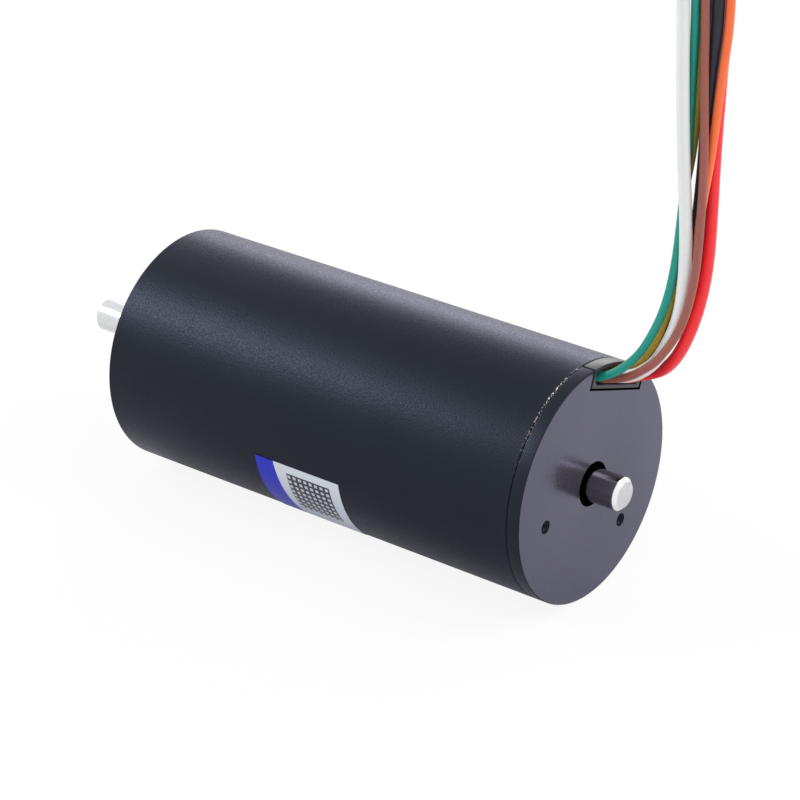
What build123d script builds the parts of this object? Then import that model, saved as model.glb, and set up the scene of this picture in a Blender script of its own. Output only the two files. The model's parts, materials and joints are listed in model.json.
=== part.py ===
"""Brushless coreless motor: 36 mm round body, 5 mm shaft at both ends, eight flying leads.

The motor axis is X. The front mounting face is at x = 0 and the leads leave the rear face at +X.
The origin is the centre of the front mounting face, +Z is up, and all sizes are in millimetres.
"""

import math
import os

from build123d import *

os.makedirs("parts", exist_ok=True)

# Outer body
body_diameter = 36.0
body_length = 76.0
tube_wall = 1.5
tube_front_chamfer = 0.3
seam_chamfer = 0.18
# Shared clearances
bond_gap = 0.05
seat_gap = 0.02
running_gap = 0.04
# Rear cap
cap_rim_thickness = 2.2
cap_rim_chamfer = 0.12
cap_register_wall = 0.9
cap_register_depth = 6.0
cap_spigot_length = 4.6
cap_spigot_wall = 2.0
cap_end_plate = 2.0
cap_bore_diameter = 6.7
rear_thread_diameter = 2.0
rear_hole_circle = 23.4
rear_hole_spread = 120.0
rear_hole_countersink = 0.15
# Front flange
flange_thickness = 4.0
pilot_setback = 5.5
pilot_height = 1.5
pilot_chamfer = 0.3
flange_end_plate = 2.0
flange_bore_diameter = 8.0
front_thread_diameter = 3.0
front_hole_setback = 3.0
front_hole_count = 4
# Bearing, the common 5 x 16 x 5 size
bearing_bore = 5.0
bearing_outside = 16.0
bearing_width = 5.0
ball_diameter = 3.175
ball_count = 6
ring_land_step = 0.65
cage_side_gap = 0.15
cage_band = 0.9
cage_pocket_gap = 0.08
shield_thickness = 0.25
shield_inset = 0.15
shield_lip_gap = 0.15
seat_wall = 2.0
seat_overhang = 0.4
# Shaft
shaft_core_diameter = 8.0
front_shaft_length = 17.0
rear_shaft_length = 5.5
front_shaft_chamfer = 0.5
rear_shaft_chamfer = 0.6
core_chamfer = 0.2
relief_width = 0.7
relief_depth = 0.2
front_relief_gap = 0.1
rear_relief_gap = 0.2
shim_thickness = 0.3
shim_wall = 1.3
washer_height = 0.8
washer_thickness = 0.25
washer_wall = 1.6
# Rotor magnet and balance rings
magnet_setback = 0.5
air_gap = 0.6
magnet_chamfer = 0.4
front_ring_thickness = 3.0
front_ring_step = 0.4
rear_ring_gap = 0.4
rear_ring_wall = 3.3
# Stator
yoke_wall = 2.7
liner_thickness = 0.15
winding_thickness = 2.0
winding_overhang = 2.5
winding_front_gap = 4.1
winding_rear_gap = 3.4
end_turn_length = 2.0
end_turn_step = 0.25
# Hall sensor board
board_thickness = 1.2
board_depth = 11.0
board_edge_gap = 0.5
board_bore_diameter = 11.0
board_hole_gap = 0.1
board_screw_count = 3
sensor_size = 3.0
sensor_height = 1.1
sensor_inset = 1.6
sensor_gap = 1.9
sensor_step = 60.0
screw_diameter = 1.6
screw_head_diameter = 2.8
screw_head_height = 0.9
screw_slot_width = 0.4
screw_slot_depth = 0.4
screw_length = 4.0
pillar_diameter = 4.4
pillar_gap = 0.45
# Lead outlet in the rear cap
outlet_angle = 69.4
notch_half_width = 6.85
notch_depth = 4.26
outlet_gap_side = 0.45
outlet_gap_floor = 0.31
outlet_depth = 2.0
outlet_roof = 0.6
outlet_lip_height = 0.55
outlet_sill_height = 0.25
outlet_lip_depth = 0.8
outlet_side_wall = 0.65
outlet_corner_cut = 0.5
# Rating label on the tube
label_start = 28.6
label_width = 15.5
label_thickness = 0.08
label_lift = 0.01
label_from_angle = -170.2
label_to_angle = -128.0
# Leads
thick_lead = 1.8
thin_lead = 1.2
thick_strand = 0.9
thin_strand = 0.55
bare_length = 5.0
run_share = 0.45

# Places and sizes that follow from the ones above
body_radius = body_diameter / 2
tube_bore = body_radius - tube_wall
register_bore = body_radius - cap_register_wall
spigot_radius = register_bore - bond_gap
seam_x = body_length - cap_rim_thickness
register_x = seam_x - cap_register_depth
shaft_radius = bearing_bore / 2
relief_radius = shaft_radius - relief_depth
shaft_back = body_length + rear_shaft_length
core_radius = shaft_core_diameter / 2
bearing_radius = bearing_outside / 2
front_bearing_x = flange_end_plate
rear_bearing_x = body_length - cap_end_plate - washer_height - bearing_width
cage_width = bearing_width - 2 * (shield_inset + shield_thickness + cage_side_gap)
front_seat_end = front_bearing_x + bearing_width + seat_overhang
front_relief_end = front_bearing_x - front_relief_gap
rear_relief_start = rear_bearing_x + bearing_width + rear_relief_gap
core_start = front_bearing_x + bearing_width + shim_thickness
pilot_radius = tube_bore - pilot_setback
front_hole_radius = tube_bore - front_hole_setback
board_start = body_length - board_depth
board_end = board_start + board_thickness
sensor_face = board_start - sensor_height
winding_start = front_seat_end + winding_front_gap
winding_end = sensor_face - winding_rear_gap
yoke_start = winding_start + winding_overhang
yoke_length = winding_end - winding_overhang - yoke_start
liner_outer = tube_bore - bond_gap - yoke_wall - bond_gap
winding_outer = liner_outer - liner_thickness - bond_gap
winding_inner = winding_outer - winding_thickness
magnet_outer = winding_inner - air_gap
magnet_start = yoke_start + magnet_setback
magnet_end = sensor_face - sensor_gap
sensor_radius = magnet_outer - sensor_inset
board_screw_radius = spigot_radius - cap_spigot_wall - pillar_gap - pillar_diameter / 2
notch_floor = body_radius - notch_depth
notch_side_gap = notch_half_width - outlet_gap_side
outlet_floor = notch_floor + outlet_gap_floor


def section_plane(x):
    """Cross-section at x, facing +X, its own Y pointing at the middle of the lead outlet."""
    up = math.radians(outlet_angle)
    return Plane(origin=(x, 0, 0), x_dir=(0, math.sin(up), -math.cos(up)), z_dir=(1, 0, 0))


with BuildPart() as housing_tube:
    # Drawn tube, stepped wider at the rear to register the cap
    with BuildSketch(Plane.XY):
        with BuildLine():
            Polyline(
                (0, tube_bore),
                (0, body_radius - tube_front_chamfer),
                (tube_front_chamfer, body_radius),
                (seam_x - seam_chamfer, body_radius),
                (seam_x, body_radius - seam_chamfer),
                (seam_x, register_bore),
                (register_x, register_bore),
                (register_x, tube_bore),
                close=True,
            )
        make_face()
    revolve(axis=Axis.X)
housing_tube.part.label = "housing_tube"
export_step(housing_tube.part, "parts/housing_tube.step")

with BuildPart() as front_flange:
    # Turned disc with a pilot in front and the bearing seat behind
    with BuildSketch(Plane.XY):
        with BuildLine():
            Polyline(
                (-pilot_height, flange_bore_diameter / 2),
                (-pilot_height, pilot_radius - pilot_chamfer),
                (-pilot_height + pilot_chamfer, pilot_radius),
                (0, pilot_radius),
                (0, tube_bore - bond_gap),
                (flange_thickness, tube_bore - bond_gap),
                (flange_thickness, bearing_radius + seat_wall),
                (front_seat_end, bearing_radius + seat_wall),
                (front_seat_end, bearing_radius + seat_gap),
                (front_bearing_x, bearing_radius + seat_gap),
                (front_bearing_x, flange_bore_diameter / 2),
                close=True,
            )
        make_face()
    revolve(axis=Axis.X)
    # Tapped mounting holes through the disc
    with BuildSketch(section_plane(0)):
        with PolarLocations(front_hole_radius, front_hole_count, start_angle=180 / front_hole_count):
            Circle(front_thread_diameter / 2)
    extrude(amount=flange_thickness, mode=Mode.SUBTRACT)
front_flange.part.label = "front_flange"
export_step(front_flange.part, "parts/front_flange.step")

with BuildPart() as rear_cap:
    # Rim, register spigot and bearing seat turned in one piece
    with BuildSketch(Plane.XY):
        with BuildLine():
            Polyline(
                (body_length, cap_bore_diameter / 2),
                (body_length, body_radius - cap_rim_chamfer),
                (body_length - cap_rim_chamfer, body_radius),
                (seam_x + seam_chamfer, body_radius),
                (seam_x, body_radius - seam_chamfer),
                (seam_x, spigot_radius),
                (seam_x - cap_spigot_length, spigot_radius),
                (seam_x - cap_spigot_length, spigot_radius - cap_spigot_wall),
                (seam_x, spigot_radius - cap_spigot_wall),
                (seam_x, bearing_radius + seat_wall),
                (rear_bearing_x - seat_overhang, bearing_radius + seat_wall),
                (rear_bearing_x - seat_overhang, bearing_radius + seat_gap),
                (body_length - cap_end_plate, bearing_radius + seat_gap),
                (body_length - cap_end_plate, cap_bore_diameter / 2),
                close=True,
            )
        make_face()
    revolve(axis=Axis.X)
    # Pillars that carry the sensor board
    with BuildSketch(section_plane(board_end)):
        with PolarLocations(board_screw_radius, board_screw_count, start_angle=-90):
            Circle(pillar_diameter / 2)
    extrude(amount=seam_x - board_end)
    with BuildSketch(section_plane(board_end)):
        with PolarLocations(board_screw_radius, board_screw_count, start_angle=-90):
            Circle(screw_diameter / 2 + seat_gap)
    extrude(amount=screw_length, mode=Mode.SUBTRACT)
    # Two tapped holes in the rear face, one to each side of the outlet
    with BuildSketch(section_plane(seam_x)):
        with Locations(
            *[
                Rotation(0, 0, side * rear_hole_spread) * Location((0, rear_hole_circle / 2))
                for side in (-1, 1)
            ]
        ):
            Circle(rear_thread_diameter / 2)
    extrude(amount=cap_rim_thickness, mode=Mode.SUBTRACT)
    thread_mouths = rear_cap.edges().filter_by(GeomType.CIRCLE)
    thread_mouths = thread_mouths.filter_by(lambda e: abs(e.radius - rear_thread_diameter / 2) < seat_gap)
    chamfer(thread_mouths.group_by(Axis.X)[-1], rear_hole_countersink)
    # Notch for the lead outlet, open through the rim and the spigot
    with BuildSketch(section_plane(seam_x - cap_spigot_length)):
        with Locations((0, (notch_floor + body_diameter) / 2)):
            Rectangle(2 * notch_half_width, body_diameter - notch_floor)
    extrude(amount=body_length, mode=Mode.SUBTRACT)
rear_cap.part.label = "rear_cap"
export_step(rear_cap.part, "parts/rear_cap.step")

with BuildPart() as lead_outlet:
    # Moulded frame whose roof follows the body's round
    with BuildSketch(section_plane(body_length - outlet_depth)):
        Circle(body_radius)
        with Locations((0, outlet_floor + body_radius)):
            Rectangle(2 * notch_side_gap, 2 * body_radius, mode=Mode.INTERSECT)
    extrude(amount=outlet_depth)
    # Window through the frame, low behind the lip
    window_half = notch_side_gap - outlet_side_wall
    sill = outlet_floor + outlet_sill_height
    with BuildSketch(section_plane(body_length - outlet_depth)):
        Circle(body_radius - outlet_roof)
        with Locations((0, sill + body_radius)):
            Rectangle(2 * window_half, 2 * body_radius, mode=Mode.INTERSECT)
    extrude(amount=outlet_depth - outlet_lip_depth, mode=Mode.SUBTRACT)
    # Window in the lip, with its lower corners filled
    lip = outlet_floor + outlet_lip_height
    with BuildSketch(section_plane(body_length - outlet_lip_depth)) as lip_window:
        Circle(body_radius - outlet_roof)
        with BuildSketch(section_plane(body_length - outlet_lip_depth), mode=Mode.INTERSECT):
            with BuildLine():
                Polyline(
                    (-window_half, body_radius),
                    (-window_half, lip + outlet_corner_cut),
                    (-window_half + outlet_corner_cut, lip),
                    (window_half - outlet_corner_cut, lip),
                    (window_half, lip + outlet_corner_cut),
                    (window_half, body_radius),
                    close=True,
                )
            make_face()
    extrude(amount=outlet_lip_depth, mode=Mode.SUBTRACT)
lead_outlet.part.label = "lead_outlet"
export_step(lead_outlet.part, "parts/lead_outlet.step")

with BuildPart() as rating_label:
    # Thin film bent round the tube
    with BuildSketch(Plane.XY):
        with Locations((label_start + label_width / 2, body_radius + label_lift + label_thickness / 2)):
            Rectangle(label_width, label_thickness)
    revolve(axis=Axis.X, revolution_arc=label_to_angle - label_from_angle)
rating_label.part = rating_label.part.rotate(Axis.X, label_from_angle)
rating_label.part.label = "rating_label"
export_step(rating_label.part, "parts/rating_label.step")

with BuildPart() as stator_yoke:
    # Slotless stack of thin rings, bonded into one
    with BuildSketch(Plane.YZ.offset(yoke_start)):
        Circle(tube_bore - bond_gap)
        Circle(liner_outer + bond_gap, mode=Mode.SUBTRACT)
    extrude(amount=yoke_length)
stator_yoke.part.label = "stator_yoke"
export_step(stator_yoke.part, "parts/stator_yoke.step")

with BuildPart() as yoke_liner:
    # Insulating film between stack and winding
    with BuildSketch(Plane.YZ.offset(yoke_start)):
        Circle(liner_outer)
        Circle(liner_outer - liner_thickness, mode=Mode.SUBTRACT)
    extrude(amount=yoke_length)
yoke_liner.part.label = "yoke_liner"
export_step(yoke_liner.part, "parts/yoke_liner.step")

with BuildPart() as winding:
    # Self-supporting bonded sleeve with a raised band of end turns at each end
    with BuildSketch(Plane.XY):
        with BuildLine():
            Polyline(
                (winding_start, winding_inner),
                (winding_start, winding_outer + end_turn_step),
                (winding_start + end_turn_length, winding_outer + end_turn_step),
                (winding_start + end_turn_length, winding_outer),
                (winding_end - end_turn_length, winding_outer),
                (winding_end - end_turn_length, winding_outer + end_turn_step),
                (winding_end, winding_outer + end_turn_step),
                (winding_end, winding_inner),
                close=True,
            )
        make_face()
    revolve(axis=Axis.X)
winding.part.label = "winding"
export_step(winding.part, "parts/winding.step")

with BuildPart() as hall_board:
    # Round board screwed to the cap's pillars
    with BuildSketch(section_plane(board_start)):
        Circle(tube_bore - board_edge_gap)
        Circle(board_bore_diameter / 2, mode=Mode.SUBTRACT)
        with PolarLocations(board_screw_radius, board_screw_count, start_angle=-90):
            Circle(screw_diameter / 2 + board_hole_gap, mode=Mode.SUBTRACT)
    extrude(amount=board_thickness)
hall_board.part.label = "hall_board"
export_step(hall_board.part, "parts/hall_board.step")

with BuildPart() as hall_sensors:
    # Three sensors, 60 degrees apart, facing the magnet's end
    with BuildSketch(section_plane(sensor_face)):
        with Locations(
            *[
                Rotation(0, 0, step * sensor_step) * Location((0, sensor_radius))
                for step in (-1, 0, 1)
            ]
        ):
            Rectangle(sensor_size, sensor_size)
    extrude(amount=sensor_height)
hall_sensors.part.label = "hall_sensors"
export_step(hall_sensors.part, "parts/hall_sensors.step")

with BuildPart() as board_screws:
    # Slotted pan heads in front of the board, shanks into the pillars
    with BuildSketch(section_plane(board_start - screw_head_height)):
        with PolarLocations(board_screw_radius, board_screw_count, start_angle=-90):
            Circle(screw_head_diameter / 2)
    extrude(amount=screw_head_height)
    with BuildSketch(section_plane(board_start)):
        with PolarLocations(board_screw_radius, board_screw_count, start_angle=-90):
            Circle(screw_diameter / 2)
    extrude(amount=board_thickness + screw_length)
    with BuildSketch(section_plane(board_start - screw_head_height)):
        with PolarLocations(board_screw_radius, board_screw_count, start_angle=-90):
            Rectangle(screw_head_diameter, screw_slot_width)
    extrude(amount=screw_slot_depth, mode=Mode.SUBTRACT)
board_screws.part.label = "board_screws"
export_step(board_screws.part, "parts/board_screws.step")

with BuildPart() as shaft:
    # Ground shaft, thicker between the bearings, with a grinding relief outside each bearing
    with BuildSketch(Plane.XY):
        with BuildLine():
            Polyline(
                (-front_shaft_length, 0),
                (-front_shaft_length, shaft_radius - front_shaft_chamfer),
                (-front_shaft_length + front_shaft_chamfer, shaft_radius),
                (front_relief_end - relief_width, shaft_radius),
                (front_relief_end - relief_width, relief_radius),
                (front_relief_end, relief_radius),
                (front_relief_end, shaft_radius),
                (core_start, shaft_radius),
                (core_start, core_radius - core_chamfer),
                (core_start + core_chamfer, core_radius),
                (rear_bearing_x - core_chamfer, core_radius),
                (rear_bearing_x, core_radius - core_chamfer),
                (rear_bearing_x, shaft_radius),
                (rear_relief_start, shaft_radius),
                (rear_relief_start, relief_radius),
                (rear_relief_start + relief_width, relief_radius),
                (rear_relief_start + relief_width, shaft_radius),
                (shaft_back - rear_shaft_chamfer, shaft_radius),
                (shaft_back, shaft_radius - rear_shaft_chamfer),
                (shaft_back, 0),
                close=True,
            )
        make_face()
    revolve(axis=Axis.X)
shaft.part.label = "shaft"
export_step(shaft.part, "parts/shaft.step")

with BuildPart() as rotor_magnet:
    # Magnet cylinder bonded to the core
    with BuildSketch(Plane.YZ.offset(magnet_start)):
        Circle(magnet_outer)
        Circle(core_radius + bond_gap, mode=Mode.SUBTRACT)
    extrude(amount=magnet_end - magnet_start)
    outer_rims = rotor_magnet.edges().filter_by(GeomType.CIRCLE)
    chamfer(outer_rims.filter_by(lambda e: abs(e.radius - magnet_outer) < bond_gap), magnet_chamfer)
rotor_magnet.part.label = "rotor_magnet"
export_step(rotor_magnet.part, "parts/rotor_magnet.step")

with BuildPart() as front_balance_ring:
    # Brass ring, drilled to balance the rotor
    with BuildSketch(Plane.YZ.offset(magnet_start - front_ring_thickness)):
        Circle(magnet_outer - front_ring_step)
        Circle(core_radius + bond_gap, mode=Mode.SUBTRACT)
    extrude(amount=front_ring_thickness)
front_balance_ring.part.label = "front_balance_ring"
export_step(front_balance_ring.part, "parts/front_balance_ring.step")

with BuildPart() as rear_balance_ring:
    # Smaller ring, clear of the sensors
    with BuildSketch(Plane.YZ.offset(magnet_end)):
        Circle(core_radius + rear_ring_wall)
        Circle(core_radius + bond_gap, mode=Mode.SUBTRACT)
    extrude(amount=sensor_face - rear_ring_gap - magnet_end)
rear_balance_ring.part.label = "rear_balance_ring"
export_step(rear_balance_ring.part, "parts/rear_balance_ring.step")

with BuildPart() as front_shim:
    # Spacer between the core's shoulder and the front bearing
    with BuildSketch(Plane.YZ.offset(front_bearing_x + bearing_width)):
        Circle(shaft_radius + shim_wall)
        Circle(shaft_radius + seat_gap, mode=Mode.SUBTRACT)
    extrude(amount=shim_thickness)
front_shim.part.label = "front_shim"
export_step(front_shim.part, "parts/front_shim.step")

# Curved spring washer: an arched strip cut to a ring
washer_x = rear_bearing_x + bearing_width
washer_outer = bearing_radius - bond_gap
washer_rise = washer_height - washer_thickness
with BuildPart() as spring_washer:
    with BuildSketch(Plane.XZ.offset(-bearing_radius)):
        with BuildLine():
            low = ThreePointArc(
                (washer_x, -washer_outer), (washer_x + washer_rise, 0), (washer_x, washer_outer)
            )
            offset(low, washer_thickness, side=Side.RIGHT)
        make_face()
    extrude(amount=bearing_outside)
    with BuildSketch(Plane.YZ.offset(washer_x)):
        Circle(washer_outer)
        Circle(washer_outer - washer_wall, mode=Mode.SUBTRACT)
    extrude(amount=washer_height, mode=Mode.INTERSECT)
spring_washer.part.label = "spring_washer"
export_step(spring_washer.part, "parts/spring_washer.step")

# Bearing sections shared by both ends
ball_radius = ball_diameter / 2
pitch_radius = (bearing_bore + bearing_outside) / 4
groove_radius = ball_radius + running_gap
outer_land = pitch_radius + ball_radius - ring_land_step
inner_land = pitch_radius - ball_radius + ring_land_step
shield_outer = outer_land - seat_gap
shield_inner = inner_land + shield_lip_gap
bearing_places = {"front": front_bearing_x, "rear": rear_bearing_x}

for end, start_x in bearing_places.items():
    middle_x = start_x + bearing_width / 2

    with BuildPart() as outer_ring:
        # Outer ring with its ball groove
        with BuildSketch(Plane.XY):
            with Locations((middle_x, (bearing_radius + outer_land) / 2)):
                Rectangle(bearing_width, bearing_radius - outer_land)
            with Locations((middle_x, pitch_radius)):
                Circle(groove_radius, mode=Mode.SUBTRACT)
        revolve(axis=Axis.X)
    outer_ring.part.label = f"{end}_bearing_outer_ring"
    export_step(outer_ring.part, f"parts/{end}_bearing_outer_ring.step")

    with BuildPart() as inner_ring:
        # Inner ring with its ball groove
        with BuildSketch(Plane.XY):
            with Locations((middle_x, (shaft_radius + seat_gap + inner_land) / 2)):
                Rectangle(bearing_width, inner_land - shaft_radius - seat_gap)
            with Locations((middle_x, pitch_radius)):
                Circle(groove_radius, mode=Mode.SUBTRACT)
        revolve(axis=Axis.X)
    inner_ring.part.label = f"{end}_bearing_inner_ring"
    export_step(inner_ring.part, f"parts/{end}_bearing_inner_ring.step")

    with BuildPart() as cage:
        # Band cage with one round pocket for each ball
        with BuildSketch(Plane.YZ.offset(middle_x - cage_width / 2)):
            Circle(pitch_radius + cage_band / 2)
            Circle(pitch_radius - cage_band / 2, mode=Mode.SUBTRACT)
        extrude(amount=cage_width)
        for number in range(ball_count):
            turn = number * 360 / ball_count
            pocket = Plane(
                origin=(middle_x, 0, 0),
                x_dir=(1, 0, 0),
                z_dir=(0, math.cos(math.radians(turn)), math.sin(math.radians(turn))),
            )
            with BuildSketch(pocket):
                Circle(ball_radius + cage_pocket_gap)
            extrude(amount=bearing_radius, mode=Mode.SUBTRACT)
    cage.part.label = f"{end}_bearing_cage"
    export_step(cage.part, f"parts/{end}_bearing_cage.step")

    with BuildPart() as shields:
        # Two pressed shields in the outer ring's mouth
        for shield_x in (start_x + shield_inset, start_x + bearing_width - shield_inset - shield_thickness):
            with BuildSketch(Plane.YZ.offset(shield_x)):
                Circle(shield_outer)
                Circle(shield_inner, mode=Mode.SUBTRACT)
            extrude(amount=shield_thickness)
    shields.part.label = f"{end}_bearing_shields"
    export_step(shields.part, f"parts/{end}_bearing_shields.step")

with BuildPart() as bearing_balls:
    # Both rows of balls
    for start_x in bearing_places.values():
        for number in range(ball_count):
            turn = math.radians(number * 360 / ball_count)
            place = (
                start_x + bearing_width / 2,
                pitch_radius * math.cos(turn),
                pitch_radius * math.sin(turn),
            )
            with Locations(place):
                Sphere(ball_radius)
bearing_balls.part.label = "bearing_balls"
export_step(bearing_balls.part, "parts/bearing_balls.step")

# Lead routes, from the outlet's crown: soldered on the board, out through the outlet, bent up, standing
crown = section_plane(body_length).origin + section_plane(body_length).y_dir * body_radius
solder_x = board_end - body_length
routes = {
    "green": (thin_lead, thin_strand, [
        (solder_x, -5.63, -1.85), (-5.4, -5.63, -1.85), (-0.4, -5.23, -0.75), (2.1, -4.73, 0.85),
        (4, -3.73, 2.55), (5.5, -2.83, 5.15), (7.7, -1.83, 10.55), (9.3, -1.43, 17.35),
        (9.8, -1.53, 25.25), (10.4, -1.53, 34.65), (10.7, -2.03, 45.05), (11.2, -2.73, 55.95),
        (10.8, -3.13, 66.55),
    ]),
    "brown": (thin_lead, thin_strand, [
        (solder_x, -4.43, -2.35), (-5.4, -4.43, -2.35), (-0.4, -4.03, -1.35), (2.9, -3.73, -0.35),
        (5.6, -3.63, 1.25), (8, -3.13, 3.75), (11, -2.23, 9.35), (12.4, -2.03, 16.65),
        (12.8, -1.93, 24.85), (13.1, -2.03, 34.45), (12.6, -2.13, 45.05), (12.4, -2.23, 55.95),
        (12, -2.43, 66.55),
    ]),
    "orange": (thin_lead, thin_strand, [
        (solder_x, -1.35, -3.44), (-5.4, -1.35, -3.44), (-0.4, -0.97, -2.43), (2.9, -1.03, -1.85),
        (5.3, -0.73, 0.65), (7.5, -0.53, 3.75), (10.4, -0.53, 9.35), (11.7, -0.73, 16.75),
        (12.3, -0.63, 24.85), (13.3, -0.63, 34.45), (14.4, -0.83, 45.05), (15.3, -0.23, 55.95),
        (14.7, -0.73, 66.45),
    ]),
    "yellow": (thin_lead, thin_strand, [
        (solder_x, -0.98, -2.19), (-5.4, -0.89, -1.96), (0, -0.61, -1.19), (2.2, -0.83, 1.05),
        (4.2, -0.93, 2.85), (5.8, -1.03, 5.25), (7.5, -0.53, 10.75), (8.5, -0.03, 17.55),
        (9.3, -0.13, 25.25), (10.1, 0.27, 34.65), (11, -0.73, 45.05), (11.2, -1.33, 55.95),
        (10.8, -1.73, 66.55),
    ]),
    "white": (thick_lead, thick_strand, [
        (solder_x, -2.78, -2.64), (-5.4, -2.78, -2.64), (-0.4, -2.39, -1.58), (2.6, -2.13, -0.25),
        (4.9, -2.03, 1.65), (6.9, -1.93, 4.35), (9.5, -1.73, 9.95), (10.8, -2.23, 17.05),
        (11.1, -2.73, 25.05), (10.7, -3.33, 34.55), (10.2, -3.73, 45.05), (9.8, -3.73, 56.05),
        (9.4, -3.93, 66.55),
    ]),
    "black": (thick_lead, thick_strand, [
        (solder_x, 0.17, -3.95), (-5.4, 0.17, -3.95), (-0.4, 0.67, -2.65), (2.2, 0.47, -0.65),
        (4.4, 0.57, 1.55), (6.7, 0.57, 4.45), (8.9, 0.47, 10.15), (10.2, -0.03, 17.25),
        (10.9, 0.07, 25.25), (12, 0.17, 34.65), (12.6, -0.43, 45.05), (13.8, -0.93, 55.95),
        (13.2, -1.33, 66.45),
    ]),
    "blue": (thin_lead, thin_strand, [
        (solder_x, 1.67, -4.55), (-5.4, 1.67, -4.55), (-0.4, 2.02, -3.55), (2.4, 2.07, -1.35),
        (4.4, 2.27, 1.25), (6.2, 2.27, 4.55), (8.5, 2.07, 10.25), (9.7, 1.77, 17.25),
        (10.2, 1.77, 25.25), (10.7, 1.37, 34.65), (11.3, 0.97, 45.05), (12.1, 0.27, 55.95),
        (11.6, -0.13, 66.55),
    ]),
    "red": (thick_lead, thick_strand, [
        (solder_x, 3.07, -5.35), (-6.2, 3.07, -5.35), (-0.4, 3.57, -3.8), (3.1, 3.67, -2.7),
        (5.7, 3.37, -0.05), (8, 2.87, 3.55), (10.2, 2.17, 9.55), (11.8, 1.77, 16.85),
        (12.2, 1.67, 24.95), (12.1, 2.17, 34.55), (12.9, 1.57, 45.05), (13.6, 1.07, 55.95),
        (13.1, 0.57, 66.45),
    ]),
}

for colour, (lead_diameter, strand_diameter, points) in routes.items():
    corners = [crown + Vector(*point) for point in points]
    runs = [after - before for before, after in zip(corners[:-1], corners[1:])]
    radii = []
    for before, after in zip(runs[:-1], runs[1:]):
        half_turn = math.radians(before.get_angle(after)) / 2
        radii.append(run_share * min(before.length, after.length) / math.tan(half_turn))

    with BuildPart() as lead:
        # Straight runs joined by tangent arcs
        with BuildLine() as lead_path:
            FilletPolyline(*corners, radius=radii)
        with BuildSketch(Plane(origin=corners[0], z_dir=runs[0])):
            Circle(lead_diameter / 2)
        sweep(path=lead_path.wire())
    lead.part.label = f"lead_{colour}"
    export_step(lead.part, f"parts/lead_{colour}.step")
    swept = lead_path.wire().length
    section = math.pi * lead_diameter**2 / 4
    smallest = min(radii) / lead_diameter
    print(
        f"lead_{colour}: length {swept:.1f} mm, radii {', '.join(f'{r:.1f}' for r in radii)},",
        f"smallest {smallest:.1f} diameters, volume over section x length",
        f"{lead.part.volume / (section * swept):.4f}",
    )

    with BuildPart() as tip:
        # Tinned strands, stripped bare at the end
        with BuildSketch(Plane(origin=corners[-1], z_dir=runs[-1])):
            Circle(strand_diameter / 2)
        extrude(amount=bare_length)
    tip.part.label = f"tip_{colour}"
    export_step(tip.part, f"parts/tip_{colour}.step")
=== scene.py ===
# %% [markdown]
# # A brushless coreless motor, dressed for its portrait
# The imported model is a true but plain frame: every solid sits in its real place, in metres, with the
# motor's axis along X. This lesson gives the pieces that the eye can reach their fine edges, threads and
# finishes. Hidden pieces keep their plain solids and only get a material.

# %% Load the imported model
import json
import math

import bmesh
import bpy
import numpy as np
from mathutils import Matrix

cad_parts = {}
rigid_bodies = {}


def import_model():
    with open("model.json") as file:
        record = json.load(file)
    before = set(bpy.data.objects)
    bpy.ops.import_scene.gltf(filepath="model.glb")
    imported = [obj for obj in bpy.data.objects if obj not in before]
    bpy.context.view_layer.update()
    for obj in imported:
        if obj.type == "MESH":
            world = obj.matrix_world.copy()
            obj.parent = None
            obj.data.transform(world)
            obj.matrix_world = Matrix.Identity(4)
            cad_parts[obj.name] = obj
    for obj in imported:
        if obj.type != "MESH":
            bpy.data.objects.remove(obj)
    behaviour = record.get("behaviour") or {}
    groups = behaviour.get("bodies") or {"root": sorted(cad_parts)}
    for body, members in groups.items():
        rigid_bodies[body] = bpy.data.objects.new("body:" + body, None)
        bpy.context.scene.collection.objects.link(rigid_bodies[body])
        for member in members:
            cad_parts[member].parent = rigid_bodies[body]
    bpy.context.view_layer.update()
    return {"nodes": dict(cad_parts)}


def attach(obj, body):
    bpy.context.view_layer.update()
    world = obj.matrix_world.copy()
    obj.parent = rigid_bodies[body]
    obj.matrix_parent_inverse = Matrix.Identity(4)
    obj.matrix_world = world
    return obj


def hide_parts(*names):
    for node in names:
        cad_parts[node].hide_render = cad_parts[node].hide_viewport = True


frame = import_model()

print("CAD nodes:", len(frame["nodes"]))

# %% [markdown]
# ## Sizes
# A drawing is easier to follow when its sizes stand in one place. They are the motor's own, in
# millimetres, and MM turns them to Blender's metres.

# %% Sizes in millimetres
MM = 0.001
body_radius = 18.0
body_length = 76.0
tube_bore = 16.5
seam_x = 73.8
seam_chamfer = 0.18
bearing_seat = 8.02
bearing_wall = 10.0
shaft_radius = 2.5
outlet_angle = math.radians(69.4)
edge_round = 0.06
print("body:", 2 * body_radius, "x", body_length, "mm, shaft:", 2 * shaft_radius, "mm")

# %% [markdown]
# ## Turned pieces
# Tube, cap, flange and shaft are turned on a lathe, so each is a profile swung round the axis. Real
# turned edges are never perfectly sharp: a tiny round on each corner catches a line of light, and it
# is what makes a plain cylinder look like metal. Screw and Bevel modifiers could do both steps. We round
# the profile first and swing it afterwards, because then every edge gets exactly the round it should.

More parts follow.
